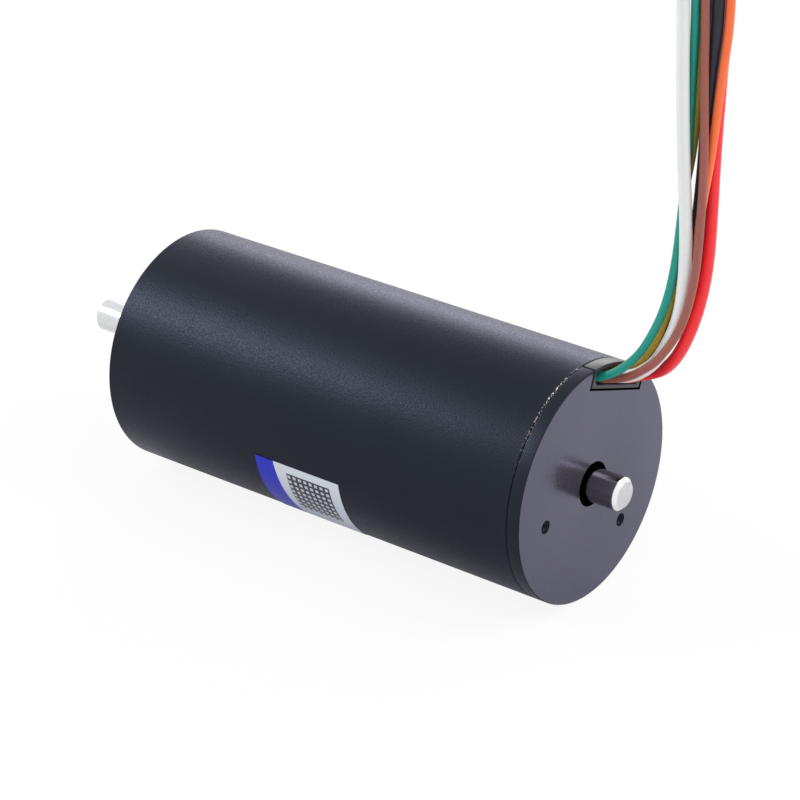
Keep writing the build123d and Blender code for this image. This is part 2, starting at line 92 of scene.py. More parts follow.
# %% Profiles and surfaces of revolution
def eased(profile, reach=edge_round, closed=True, steps=5):
    """Rounds each corner b of an outline between a and c, two points at the reach from it:
    (1-s)(1-s) a + 2 s (1-s) b + s s c. The reach shrinks to 0.4 of the shorter side."""
    corners = np.array(profile, float)
    back = np.roll(corners, 1, axis=0) - corners
    ahead = np.roll(corners, -1, axis=0) - corners
    back_length = np.linalg.norm(back, axis=1, keepdims=True)
    ahead_length = np.linalg.norm(ahead, axis=1, keepdims=True)
    cut = np.minimum(reach, 0.4 * np.minimum(back_length, ahead_length))
    start, end = corners + back / back_length * cut, corners + ahead / ahead_length * cut
    s = np.linspace(0, 1, steps)[None, :, None]
    curve = (1 - s) ** 2 * start[:, None] + 2 * s * (1 - s) * corners[:, None] + s**2 * end[:, None]
    if closed:
        return curve.reshape(-1, 2)
    return np.vstack([corners[:1], curve[1:-1].reshape(-1, 2), corners[-1:]])


def grid_faces(rows, columns, wrap_rows=True, wrap_columns=True):
    """Quads that join row r to r + 1 and column c to c + 1, counted round where they wrap."""
    r = np.arange(rows if wrap_rows else rows - 1)[:, None]
    c = np.arange(columns if wrap_columns else columns - 1)[None, :]
    r2, c2 = (r + 1) % rows, (c + 1) % columns
    row, next_row = r * columns, r2 * columns
    quads = np.stack(np.broadcast_arrays(row + c, row + c2, next_row + c2, next_row + c), -1)
    return quads.reshape(-1, 4)


def piece(name, points, faces, sharp=32):
    """A mesh object from points in millimetres. Doubles merge, so poles and seams close, and then all
    faces are turned outwards. Edges sharper than the angle, in degrees, stay crisp."""
    mesh = bpy.data.meshes.new(name)
    mesh.from_pydata((np.asarray(points, float).reshape(-1, 3) * MM).tolist(), [], faces.tolist())
    work = bmesh.new()
    work.from_mesh(mesh)
    bmesh.ops.remove_doubles(work, verts=work.verts, dist=1e-8)
    bmesh.ops.recalc_face_normals(work, faces=work.faces)
    work.to_mesh(mesh)
    work.free()
    mesh.shade_smooth()
    mesh.set_sharp_from_angle(angle=math.radians(sharp))
    made = bpy.data.objects.new(name, mesh)
    bpy.context.scene.collection.objects.link(made)
    return made


def turned(name, profile, closed=True, turns=240):
    """Surface of revolution about X: profile point (x, r) at angle t goes to (x, r cos t, r sin t)."""
    t = np.linspace(0, 2 * np.pi, turns, endpoint=False)
    x, r = profile[:, 0][:, None], profile[:, 1][:, None]
    points = np.stack([x + 0 * t, r * np.cos(t), r * np.sin(t)], -1)
    return piece(name, points, grid_faces(len(profile), turns, wrap_rows=closed))


print("a rounded square has", len(eased([(0, 0), (1, 0), (1, 1), (0, 1)])), "points")

# %% [markdown]
# ## Cutting holes
# Holes, slots and the notch are milled after turning. A Boolean modifier does the same with a solid
# cutter. We apply it at once, so that the finished mesh stands alone and the cutter can go.

# %% Cutters
def across(x, along, side):
    """Points on the cross-section at x: along runs towards the lead outlet, side runs square to it."""
    y = along * math.cos(outlet_angle) + side * math.sin(outlet_angle)
    z = along * math.sin(outlet_angle) - side * math.cos(outlet_angle)
    return np.stack(np.broadcast_arrays(x, y, z), -1)


def bar(name, outline, x_start, x_end):
    """A prism along X over an outline of (along, side) points, closed with one face at each end."""
    along, side = np.array(outline, float).T
    ring = np.vstack([across(x_start, along, side), across(x_end, along, side)])
    count = len(along)
    made = piece(name, ring, grid_faces(2, count, wrap_rows=False))
    work = bmesh.new()
    work.from_mesh(made.data)
    bmesh.ops.holes_fill(work, edges=work.edges, sides=0)
    bmesh.ops.recalc_face_normals(work, faces=work.faces)
    work.to_mesh(made.data)
    work.free()
    return made


def disc(radius, along, side, count=64):
    """Outline of a circle: (along + radius cos t, side + radius sin t)."""
    t = np.linspace(0, 2 * np.pi, count, endpoint=False)
    return np.stack([along + radius * np.cos(t), side + radius * np.sin(t)], 1)


def apply_modifiers(made, sharp=32):
    """Bakes the modifiers into the mesh and keeps its smooth and sharp edges."""
    graph = bpy.context.evaluated_depsgraph_get()
    baked = bpy.data.meshes.new_from_object(made.evaluated_get(graph))
    made.modifiers.clear()
    made.data = baked
    baked.shade_smooth()
    baked.set_sharp_from_angle(angle=math.radians(sharp))


def machined(made, tools, operation="DIFFERENCE"):
    """Cuts each tool away from the piece, or adds it, and removes the tool."""
    for tool in tools:
        step = made.modifiers.new("cut", "BOOLEAN")
        step.operation = operation
        step.object = tool
        step.solver = "EXACT"
    apply_modifiers(made)
    for tool in tools:
        bpy.data.objects.remove(tool)


print("towards the lead outlet (x, y, z):", across(0.0, 1.0, 0.0).round(3))

# %% [markdown]
# ## The tube
# A drawn aluminium tube, bead-blasted and anodised black. Its front edge is broken by a chamfer and
# its rear edge is one half of the V-shaped seam. A cylinder with bevelled edges would look alike from
# outside, but one closed profile gives the wall, the bore and the step for the cap's spigot as well.

# %% Tube
front_chamfer = 0.3
register_bore, register_x = 17.1, 67.8
tube = turned("tube", eased([
    (0, tube_bore), (0, body_radius - front_chamfer), (front_chamfer, body_radius),
    (seam_x - seam_chamfer, body_radius), (seam_x, body_radius - seam_chamfer), (seam_x, register_bore),
    (register_x, register_bore), (register_x, tube_bore),
]))
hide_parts("housing_tube")
print("tube:", len(tube.data.polygons), "faces")

# %% [markdown]
# ## The rear cap
# The cap is turned like the tube: a rim, a thin spigot that slips into the tube's bore, and a seat for
# the rear bearing. Then it is milled: a notch for the lead outlet and two tapped holes. Three pillars
# inside carry the sensor board, so they are added before the holes are cut. Working in the order of the
# real machining keeps each step simple, and the rim stays a true circle up to the edge of the notch.

# %% Rear cap
cap_chamfer, cap_bore = 0.12, 3.35
spigot_x, spigot_radius, spigot_inside = 69.2, 17.05, 15.05
seat_start, seat_back = 67.8, 74.0
notch_floor, notch_half = 13.74, 6.85
pillar_circle, pillar_radius = 12.4, 2.2
rear_hole_circle, rear_hole_radius = 11.7, 1.0
cap = turned("cap", eased([
    (body_length, cap_bore), (body_length, body_radius - cap_chamfer), (body_length - cap_chamfer, body_radius),
    (seam_x + seam_chamfer, body_radius), (seam_x, body_radius - seam_chamfer), (seam_x, spigot_radius),
    (spigot_x, spigot_radius), (spigot_x, spigot_inside), (seam_x, spigot_inside), (seam_x, bearing_wall),
    (seat_start, bearing_wall), (seat_start, bearing_seat), (seat_back, bearing_seat), (seat_back, cap_bore),
]))
pillar_places = [(pillar_circle * math.sin(a), pillar_circle * math.cos(a)) for a in np.radians([-90, 30, 150])]
machined(cap, [bar("pillar", disc(pillar_radius, *place), 66.2, 73.9) for place in pillar_places], "UNION")
rear_hole_places = [(rear_hole_circle * math.cos(a), rear_hole_circle * math.sin(a))
                    for a in np.radians([120, -120])]
notch = [(notch_floor, -notch_half), (30, -notch_half), (30, notch_half), (notch_floor, notch_half)]
machined(cap, [
    bar("notch", notch, 68.5, 80),
    *[bar("screw_hole", disc(0.82, *place), 60, 70.2) for place in pillar_places],
    *[bar("tapped_hole", disc(rear_hole_radius, *place), 70, 80) for place in rear_hole_places],
])
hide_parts("rear_cap")
print("cap:", len(cap.data.polygons), "faces")

# %% [markdown]
# ## The front flange
# A disc with a pilot that centres the motor in its bracket and four tapped holes round it. The front
# bearing shows in its bore. It could be stacked from discs and a ring, but one turned profile has no
# hidden walls where they would meet.

# %% Front flange
pilot_radius, pilot_height, pilot_chamfer = 11.0, 1.5, 0.3
flange_radius, flange_thickness, flange_bore = 16.45, 4.0, 4.0
front_hole_circle, front_hole_radius = 13.5, 1.5
flange = turned("flange", eased([
    (-pilot_height, flange_bore), (-pilot_height, pilot_radius - pilot_chamfer),
    (-pilot_height + pilot_chamfer, pilot_radius), (0, pilot_radius), (0, flange_radius),
    (flange_thickness, flange_radius), (flange_thickness, bearing_wall), (7.4, bearing_wall),
    (7.4, bearing_seat), (2.0, bearing_seat), (2.0, flange_bore),
]))
front_hole_places = [(front_hole_circle * math.sin(a), front_hole_circle * math.cos(a))
                     for a in np.radians([45, 135, 225, 315])]
machined(flange, [bar("tapped_hole", disc(front_hole_radius, *place), -1, 5) for place in front_hole_places])
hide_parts("front_flange")
print("flange:", len(flange.data.polygons), "faces")

# %% [markdown]
# ## Threads in the holes
# A tapped hole shows a few bright ridges just inside its mouth. Bump in a material would leave the
# mouth's edge smooth, so the ridges are real: each thread is a sleeve whose radius swings once per pitch,
# shifted as it turns, which makes the ridge climb like a real screw thread.

# %% Threads
def threads(name, places, x_start, x_end, major, depth, pitch, per_turn=12, turns=40):
    """Sleeves with r = major - depth * |2 frac(x / pitch - t / 2 pi) - 1|, closed behind by their own
    wall. The ridges fade out over the last 0.3 of a pitch at both ends."""
    rows = int((x_end - x_start) / pitch * per_turn)
    x = np.linspace(x_start, x_end, rows)[:, None]
    t = np.linspace(0, 2 * np.pi, turns, endpoint=False)[None, :]
    wave = np.abs(2 * np.mod(x / pitch - t / (2 * np.pi), 1) - 1)
    fade = np.clip(np.minimum(x - x_start, x_end - x) / (0.3 * pitch), 0, 1)
    inner = major - depth * wave * fade
    outer = np.full((2, turns), major)
    x_all = np.vstack([x + 0 * t, np.full((1, turns), x_end), np.full((1, turns), x_start)])
    r_all = np.vstack([inner - 0.004, outer])
    points, faces = [], []
    for along, side in places:
        faces.append(grid_faces(rows + 2, turns) + len(points) * (rows + 2) * turns)
        points.append(across(x_all, along + r_all * np.cos(t), side + r_all * np.sin(t)).reshape(-1, 3))
    return piece(name, np.vstack(points), np.vstack(faces), sharp=60)


rear_threads = threads("rear_threads", rear_hole_places, 73.9, 75.85, major=0.995, depth=0.2, pitch=0.4)
front_threads = threads("front_threads", front_hole_places, 0.12, 3.9, major=1.495, depth=0.27, pitch=0.5)
print("threads:", len(rear_threads.data.polygons) + len(front_threads.data.polygons), "faces")

# %% [markdown]
# ## The shaft
# Ground steel with a chamfer at each end, a thicker core between the bearings and a narrow grinding
# relief outside each bearing. Its profile is open: it starts and ends on the axis, where the swung points
# merge into the middle of each end face.

# %% Shaft
front_end, rear_end = -17.0, 81.5
core_radius, relief_radius = 4.0, 2.3
shaft = turned("motor_shaft", eased([
    (front_end, 0), (front_end, shaft_radius - 0.5), (front_end + 0.5, shaft_radius), (1.2, shaft_radius),
    (1.2, relief_radius), (1.9, relief_radius), (1.9, shaft_radius), (7.3, shaft_radius),
    (7.3, core_radius - 0.2), (7.5, core_radius), (68.0, core_radius), (68.2, core_radius - 0.2),
    (68.2, shaft_radius), (73.4, shaft_radius), (73.4, relief_radius), (74.1, relief_radius),
    (74.1, shaft_radius), (rear_end - 0.6, shaft_radius), (rear_end, shaft_radius - 0.6), (rear_end, 0),
], reach=0.05, closed=False), closed=False, turns=160)
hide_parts("shaft")
print("shaft:", len(shaft.data.polygons), "faces")

# %% [markdown]
# ## The lead outlet
# A small moulded frame fills the notch. Its roof follows the body's round and its floor is flat, so its
# outline is an arch. Every ring of the frame is the same arch with other sizes, and neighbouring rings
# are joined like the hoops of a barrel: outside, front edge, lip, window and back.

# %% Lead outlet
def arch(half, floor, crown, corner, per_side=24):
    """An arch in (along, side): a flat floor, two straight sides and a roof of radius crown, with the two
    lower corners cut at 45 degrees. Each of its parts has the same number of points on every arch."""
    top = math.sqrt(crown**2 - half**2)
    floor_run = np.linspace(-half + corner, half - corner, per_side)
    floor_line = np.stack([np.full(per_side, floor), floor_run], 1)
    cut = np.linspace(0, 1, 6)[1:-1, None]
    right_cut = np.array([floor, half - corner]) + cut * np.array([corner, corner])
    right = np.stack([np.linspace(floor + corner, top, per_side), np.full(per_side, half)], 1)
    turn = np.linspace(math.asin(half / crown), -math.asin(half / crown), 2 * per_side)[1:-1]
    roof = np.stack([crown * np.cos(turn), crown * np.sin(turn)], 1)
    left = right[::-1] * np.array([1, -1])
    left_cut = right_cut[::-1] * np.array([1, -1])
    return np.vstack([floor_line, right_cut, right, roof, left, left_cut])


# Each ring: x, half width, floor, radius of the roof, corner cut
outlet_floor, outlet_half = 14.05, 6.4
window_floor, window_half, window_roof = 14.6, 5.75, 17.4
rings = [
    (74.0, outlet_half, outlet_floor, body_radius, 0.02),
    (75.93, outlet_half, outlet_floor, body_radius, 0.02),
    (75.98, outlet_half - 0.02, outlet_floor + 0.02, body_radius - 0.02, 0.03),
    (body_length, outlet_half - 0.07, outlet_floor + 0.07, body_radius - 0.07, 0.05),
    (body_length, window_half + 0.1, window_floor - 0.1, window_roof + 0.1, 0.5),
    (75.97, window_half + 0.03, window_floor - 0.03, window_roof + 0.03, 0.5),
    (75.9, window_half, window_floor, window_roof, 0.5),
    (75.2, window_half, window_floor, window_roof, 0.5),
    (75.2, window_half, window_floor - 0.3, window_roof, 0.02),
    (74.0, window_half, window_floor - 0.3, window_roof, 0.02),
]
hoops = [across(x, *arch(half, floor, crown, corner).T) for x, half, floor, crown, corner in rings]
outlet = piece("outlet_frame", np.stack(hoops), grid_faces(len(hoops), len(hoops[0])), sharp=40)
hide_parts("lead_outlet")
print("lead outlet:", len(outlet.data.polygons), "faces")

# %% [markdown]
# ## The label
# A printed film bent round the tube. It is a grid over the tube's round, with a rim turned down to the
# tube, and its UV map holds millimetres along and around the tube, so that its fields can be placed with
# a ruler.

# %% Label
label_start, label_end = 28.6, 44.1
label_from, label_to = math.radians(-170.2), math.radians(-128.0)
label_radius = body_radius + 0.09
label_thickness = 0.08
label_reach = label_radius * (label_to - label_from)
u_line = np.concatenate([[0], np.linspace(0, label_end - label_start, 40), [label_end - label_start]])
v_line = np.concatenate([[0], np.linspace(0, label_reach, 90), [label_reach]])
u, v = np.meshgrid(u_line, v_line, indexing="ij")
inside = np.ones_like(u)
inside[[0, -1], :] = 0
inside[:, [0, -1]] = 0
radius = label_radius - label_thickness * (1 - inside)
angle = label_from + v / label_radius
label_points = np.stack([label_start + u, radius * np.cos(angle), radius * np.sin(angle)], -1)
label = piece("label", label_points, grid_faces(*u.shape, wrap_rows=False, wrap_columns=False), sharp=60)
where = np.empty(len(label.data.vertices) * 3)
label.data.vertices.foreach_get("co", where)
where = where.reshape(-1, 3) / MM
corner_of = np.empty(len(label.data.loops), int)
label.data.loops.foreach_get("vertex_index", corner_of)
around = np.mod(np.arctan2(where[:, 2], where[:, 1]) - label_from, 2 * np.pi) * label_radius
ruler = np.stack([where[:, 0] - label_start, around], 1)[corner_of]
label.data.uv_layers.new(name="ruler").data.foreach_set("uv", ruler.ravel().astype(np.float32))
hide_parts("rating_label")
print("label:", round(label_end - label_start, 1), "x", round(label_reach, 1), "mm")

# %% [markdown]
# ## The leads
# Eight flexible leads leave the outlet as a bundle and stand up behind the motor. Each is a smooth curve
# near the route of its plain solid: a few points were moved by up to 2.5 mm, so that the leads cross and
# hide each other as on the real motor, and none touches the next. Phases are thicker than the sensors'
# leads. A mesh tube would need its own frame at every point of the path. A curve object with a round
# bevel does that by itself, and a spline of order three bends between its points as insulated wire does.

# %% Routes of the leads
# Each lead: diameter of the sleeve, diameter of the bare wire, length of the sleeve, points of the route
lead_routes = {
    "green": (1.2, 0.55, 80.6, [
        (66.2, 0.7, 15), (70.6, 0.7, 15), (75.6, 1.1, 16.1), (78.43, 1.48, 17.75), (80.72, 1.99, 20.09),
        (82.62, 2.05, 22.82), (84.59, 3.19, 28.12), (85.62, 3.88, 34.68), (86.03, 4.27, 42.45),
        (86.39, 4.81, 51.5), (86.7, 4.29, 61.9), (87.2, 3.66, 72.81), (86.79, 3.27, 83.41)]),
    "brown": (1.2, 0.55, 83.6, [
        (66.2, 1.9, 14.5), (70.6, 1.9, 14.5), (75.6, 2.3, 15.5), (79.47, 2.44, 16.78), (82.38, 1.99, 19.04),
        (84.94, 1.75, 21.37), (87.69, 2.96, 26.5), (88.96, 3.7, 33.65), (89.3, 3.87, 41.84),
        (89.24, 4.22, 51.33), (88.6, 4.2, 61.9), (88.41, 4, 72.8), (88.02, 3.8, 83.4)]),
    "orange": (1.2, 0.55, 83.6, [
        (66.2, 4.98, 13.41), (70.6, 4.98, 13.41), (75.6, 5.36, 14.42), (79.26, 5.56, 15.28),
        (81.65, 5.51, 18.7), (84.25, 5.02, 21.36), (86.41, 5.62, 26.6), (87.84, 5.62, 33.65),
        (88.31, 5.07, 41.96), (89.42, 5.63, 51.32), (90.41, 5.49, 61.9), (91.3, 6.1, 72.8),
        (90.7, 5.6, 83.3)]),
    "yellow": (1.2, 0.55, 81.1, [
        (66.2, 5.35, 14.66), (70.6, 5.44, 14.89), (76, 5.72, 15.66), (78.94, 5.6, 17.64),
        (81.1, 4.78, 20.04), (82.92, 4.19, 22.84), (84.52, 4.48, 27.92), (85.64, 5.27, 34.77),
        (85.09, 5.34, 42.7), (86.09, 6.6, 51.5), (87, 5.61, 61.9), (87.19, 5.04, 72.79),
        (86.79, 4.63, 83.39)]),
    "white": (1.8, 0.9, 83.0, [
        (66.2, 3.55, 14.21), (70.6, 3.55, 14.21), (75.6, 3.94, 15.27), (79.41, 4.02, 16.38),
        (82.26, 3.75, 18.72), (84.41, 3.36, 21.52), (86.48, 4.03, 27.04), (87.27, 3.84, 34.18),
        (87.42, 3.26, 42.11), (86.71, 2.99, 51.41), (86.3, 2.6, 61.9), (85.9, 2.6, 72.9),
        (85.4, 2.4, 83.4)]),
    "black": (1.8, 0.9, 82.4, [
        (66.2, 6.5, 12.9), (70.6, 6.5, 12.9), (75.6, 7, 14.2), (78.71, 7.12, 16.45),
        (81.16, 7.15, 19.17), (83.25, 6.27, 22.1), (84.77, 6.45, 27.85), (86.38, 6.52, 34.29),
        (87.42, 6.39, 42.26), (87.87, 6.49, 51.51), (88.59, 5.91, 61.9), (89.8, 5.4, 72.8),
        (89.2, 4.99, 83.3)]),
    "blue": (1.2, 0.55, 83.2, [
        (66.2, 8, 12.3), (70.6, 8, 12.3), (75.6, 8.35, 13.3), (78.97, 8.39, 15.23),
        (81.08, 8.99, 18.65), (83.42, 8.21, 21.92), (85.01, 8.22, 27.58), (86.09, 8.15, 34.23),
        (86.46, 7.78, 42.32), (86.7, 7.7, 51.5), (87.3, 7.3, 61.9), (88.1, 6.6, 72.8),
        (87.6, 6.2, 83.4)]),
    "red": (1.8, 0.9, 85.5, [
        (66.2, 9.4, 11.5), (69.8, 9.4, 11.5), (75.6, 9.9, 13.05), (79.57, 10.31, 14.59),
        (82.89, 8.43, 17.6), (85.49, 7.45, 21.74), (87.39, 7.42, 27.28), (88.42, 7.7, 33.97),
        (88.47, 7.94, 41.9), (88.09, 8.63, 51.35), (88.9, 7.9, 61.9), (89.6, 7.4, 72.8),
        (89.1, 6.91, 83.3)]),
}
print("lead lengths (mm):", {colour: length for colour, (_, _, length, _) in lead_routes.items()})

# %% [markdown]
# ## Bare ends
# Each lead is stripped at its far end. Under the sleeve lie seven tinned wires, six twisted round one,
# so each end is seven thin tubes on a helix. They are worked out together as one grid of points, because
# all seven follow the same formula and differ in their starting angle alone.

# %% Leads and their bare ends
def strands(name, start, direction, bundle, length=5.0, lay=4.5, rings=30, sides=10):
    """Seven wires: wire k has its centre at start + s d + rho (cos a N + sin a B), with
    a = k 60 degrees + 2 pi s / lay, and is closed at both ends by a small ring."""
    d = direction / np.linalg.norm(direction)
    n = np.cross(d, [1.0, 0, 0])
    n /= np.linalg.norm(n)
    b = np.cross(d, n)
    wire = bundle / 6
    s = np.linspace(0, length, rings)
    s_all = np.concatenate([[0], s, [length]])
    taper = np.concatenate([[0], np.ones(rings), [0]])
    phi = np.linspace(0, 2 * np.pi, sides, endpoint=False)
    rho = np.array([0] + [2 * wire] * 6)[:, None, None]
    a = np.array([0] + list(range(6)))[:, None, None] * np.pi / 3 + 2 * np.pi * s_all[None, :, None] / lay
    wide = rho * np.cos(a) + wire * taper[None, :, None] * np.cos(phi)
    high = rho * np.sin(a) + wire * taper[None, :, None] * np.sin(phi)
    points = start + s_all[None, :, None, None] * d + wide[..., None] * n + high[..., None] * b
    faces = np.vstack([
        grid_faces(rings + 2, sides, wrap_rows=False) + k * (rings + 2) * sides for k in range(7)
    ])
    return piece(name, points, faces, sharp=50)


leads, bare_ends = {}, {}
for colour, (diameter, bundle, length, route) in lead_routes.items():
    curve = bpy.data.curves.new(f"{colour}_lead", "CURVE")
    curve.dimensions = "3D"
    curve.resolution_u = 10
    curve.bevel_depth = diameter / 2 * MM
    curve.bevel_resolution = 6
    curve.use_fill_caps = True
    spline = curve.splines.new("NURBS")
    spline.points.add(len(route) - 1)
    corners = np.array(route) * MM
    spline.points.foreach_set("co", np.hstack([corners, np.ones((len(route), 1))]).ravel())
    spline.order_u = 3
    spline.use_endpoint_u = True
    lead = bpy.data.objects.new(f"{colour}_lead", curve)
    bpy.context.scene.collection.objects.link(lead)
    end = np.array(route[-1])
    bare = strands(f"{colour}_bare_end", end, end - np.array(route[-2]), bundle)
    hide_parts(f"lead_{colour}")
    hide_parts(f"tip_{colour}")
    leads[colour], bare_ends[colour] = lead, bare
print("leads:", ", ".join(leads))

# %% [markdown]
# ## Materials: the helpers
# Colours are picked on a screen as sRGB hex, but light adds up in linear values, so one function
# converts them. A second one adds a node with its settings and links, which keeps each material short
# enough to read.

# %% Colour and node helpers
def linear(code):
    """Hex to linear light: v / 12.92 up to 0.04045, and ((v + 0.055) / 1.055) to the power 2.4 above."""
    v = np.array([int(code[i:i + 2], 16) for i in (1, 3, 5)]) / 255
    return (*np.where(v <= 0.04045, v / 12.92, ((v + 0.055) / 1.055) ** 2.4), 1.0)


def add(tree, kind, inputs=None, **settings):
    """One node: settings go on the node itself, and each input is a plain value or the socket that feeds it."""
    made = tree.nodes.new("ShaderNode" + kind)
    for key, value in settings.items():
        setattr(made, key, value)
    for key, value in (inputs or {}).items():
        if isinstance(value, bpy.types.NodeSocket):
            tree.links.new(value, made.inputs[key])
        else:
            made.inputs[key].default_value = value
    return made


def new_material(name, **shader_inputs):
    """A material with one Principled shader and the object's own coordinates."""
    material = bpy.data.materials.new(name)
    material.use_nodes = True
    tree = material.node_tree
    shader = tree.nodes["Principled BSDF"]
    for key, value in shader_inputs.items():
        shader.inputs[key.replace("_", " ")].default_value = value
    place = add(tree, "TexCoord").outputs["Object"]
    return material, tree, shader, place


def mottled(name, colour, other, metallic, roughness, spread, grain_mm, bump, **more):
    """A fine even surface: noise of the grain's size swings the colour from one hex to the other, the
    roughness by plus or minus the spread, and lifts the surface by up to the bump, in millimetres."""
    material, tree, shader, place = new_material(name, Metallic=metallic, **more)
    grain = add(tree, "TexNoise", {"Vector": place, "Scale": 1 / (grain_mm * MM), "Detail": 3.0})
    tint = add(tree, "Mix", {0: grain.outputs["Fac"], 6: linear(colour), 7: linear(other)},
               data_type="RGBA")
    gloss = add(tree, "MapRange", {"Value": grain.outputs["Fac"], "To Min": roughness - spread,
                                   "To Max": roughness + spread})
    lift = add(tree, "Bump", {"Height": grain.outputs["Fac"], "Distance": bump * MM, "Strength": 1.0})
    tree.links.new(tint.outputs[2], shader.inputs["Base Color"])
    tree.links.new(gloss.outputs["Result"], shader.inputs["Roughness"])
    tree.links.new(lift.outputs["Normal"], shader.inputs["Normal"])
    return material


def paint(material, *objects):
    """Gives each object this one material and takes off what it had."""
    for thing in objects:
        thing.data.materials.clear()
        thing.data.materials.append(material)


print("linear value of mid grey #808080:", round(float(linear("#808080")[0]), 3))

# %% [markdown]
# ## Black anodised aluminium
# Bead blasting leaves a skin of tiny dents, and black dye in the oxide over it takes most of the light.
# What is left is a dark, slightly blue mirror with a broad soft shine, which turns pale only where we
# look along the surface. A metal shader with a dark colour does just that, and its specular tint makes
# that edge a little violet, as thin oxide does. The real dents measure about 0.05 mm, too fine to show,
# so they are drawn at 0.26 mm and glitter in the shine. The rear face is turned after blasting and
# mirrors more sharply. Its copy of the material is painted a much lighter grey: that is painted
# reflection, standing in for the bright light that the face mirrors.

# %% Anodised aluminium
def anodised(name, colour, other, roughness, dent_mm, dent_depth):
    """Dark metal: fine dents swing the roughness by plus or minus 0.09 and lift the surface by
    dent_depth, in millimetres, and a broad cloud of 9 mm drifts the colour from one hex to the other."""
    material, tree, shader, place = new_material(name, Metallic=1.0, Specular_Tint=linear("#F7F6FF"))
    dents = add(tree, "TexNoise", {"Vector": place, "Scale": 1 / (dent_mm * MM), "Detail": 2.0})
    cloud = add(tree, "TexNoise", {"Vector": place, "Scale": 1 / (9 * MM), "Detail": 2.0})
    skin = add(tree, "Mix", {0: cloud.outputs["Fac"], 6: linear(colour), 7: linear(other)},
               data_type="RGBA")
    gloss = add(tree, "MapRange", {"Value": dents.outputs["Fac"], "From Min": 0.3, "From Max": 0.7,
                                   "To Min": roughness - 0.09, "To Max": roughness + 0.09})
    lift = add(tree, "Bump", {"Height": dents.outputs["Fac"], "Distance": dent_depth * MM, "Strength": 1.0})
    tree.links.new(skin.outputs[2], shader.inputs["Base Color"])
    tree.links.new(gloss.outputs["Result"], shader.inputs["Roughness"])
    tree.links.new(lift.outputs["Normal"], shader.inputs["Normal"])
    return material


blasted = anodised("black_anodised_blasted_aluminium", "#272B33", "#2B2F38", 0.38, 0.26, 0.026)
# painted reflection: the rear face's copy is a far lighter grey than the blasted skin
face_painted_reflection = anodised("black_anodised_face_with_painted_reflection", "#656473", "#696876", 0.24, 0.12, 0.003)
paint(blasted, tube, cap, flange)
cap.data.materials.append(face_painted_reflection)
centres = np.empty(len(cap.data.polygons) * 3)
cap.data.polygons.foreach_get("center", centres)
on_face = centres.reshape(-1, 3)[:, 0] > (body_length - 0.02) * MM
cap.data.polygons.foreach_set("material_index", on_face.astype(int))
print("turned faces of the cap:", int(on_face.sum()), "of", len(on_face))

# %% [markdown]
# ## Wear and painted glint along the seam
# The sharp edges of the seam lose their black skin first, and bare aluminium shows there in specks.
# The specks also carry a painted glint: they are painted bright near the top, where the light catches
# the edge, and dull further down. Four shares from 0 to 1 are multiplied: near the seam, high on the
# body, on the side away from the outlet, and inside a speck. Only where all of them are high does the
# skin give way.

# %% Seam wear and painted glint
tree = blasted.node_tree
shader = tree.nodes["Principled BSDF"]
skin = shader.inputs["Base Color"].links[0].from_socket
place = add(tree, "TexCoord").outputs["Object"]
axes = add(tree, "SeparateXYZ", {"Vector": place})
off_seam = add(tree, "Math", {0: axes.outputs["X"], 1: seam_x * MM}, operation="SUBTRACT")
distance = add(tree, "Math", {0: off_seam.outputs[0]}, operation="ABSOLUTE")
near = add(tree, "MapRange", {"Value": distance.outputs[0], "From Min": 0.05 * MM, "From Max": 0.34 * MM,
                              "To Min": 1.0, "To Max": 0.0})
# painted glint: the specks grow stronger from 3 mm to 18 mm up the body
glint_height = add(tree, "MapRange", {"Value": axes.outputs["Z"], "From Min": 3 * MM, "From Max": 18 * MM},
            interpolation_type="SMOOTHSTEP")
beside = add(tree, "MapRange", {"Value": axes.outputs["Y"], "From Min": 0.3 * MM, "From Max": 1.0 * MM,
                                "To Min": 1.0, "To Max": 0.0})
side = add(tree, "Math", {0: glint_height.outputs["Result"], 1: beside.outputs["Result"]}, operation="MULTIPLY")
specks = add(tree, "TexNoise", {"Vector": place, "Scale": 1 / (0.25 * MM), "Detail": 1.0})
chips = add(tree, "MapRange", {"Value": specks.outputs["Fac"], "From Min": 0.5, "From Max": 0.72})
on_edge = add(tree, "Math", {0: near.outputs["Result"], 1: side.outputs[0]}, operation="MULTIPLY")
rubbed_and_glint = add(tree, "Math", {0: on_edge.outputs[0], 1: chips.outputs["Result"]}, operation="MULTIPLY")
# painted glint: the bare metal is painted dull bronze low down and nearly white at the top
bare_metal_glint = add(tree, "Mix", {0: glint_height.outputs["Result"], 6: linear("#5E534E"), 7: linear("#D4CDC8")},
                 data_type="RGBA")
worn_and_glint = add(tree, "Mix", {0: rubbed_and_glint.outputs[0], 6: skin, 7: bare_metal_glint.outputs[2]}, data_type="RGBA")
tree.links.new(worn_and_glint.outputs[2], shader.inputs["Base Color"])
print("nodes in the blasted skin:", len(tree.nodes))

# %% [markdown]
# ## Steel
# The shaft is ground between centres, which leaves the finest of lines round it. Lines come from a noise
# that is stretched around the axis: it changes along X and hardly at all around the shaft. The real
# lines are a few thousandths of a millimetre wide, too fine to show, so they are drawn 0.1 mm apart.
# The steel is painted a darker, warmer grey towards the rear: that is painted reflection of the dark
# rear face round the journal, which it mirrors. Its chamfer is painted near white, a painted highlight,
# and its end is bright, with short brush strokes, 0.12 mm wide and 1.6 mm long.

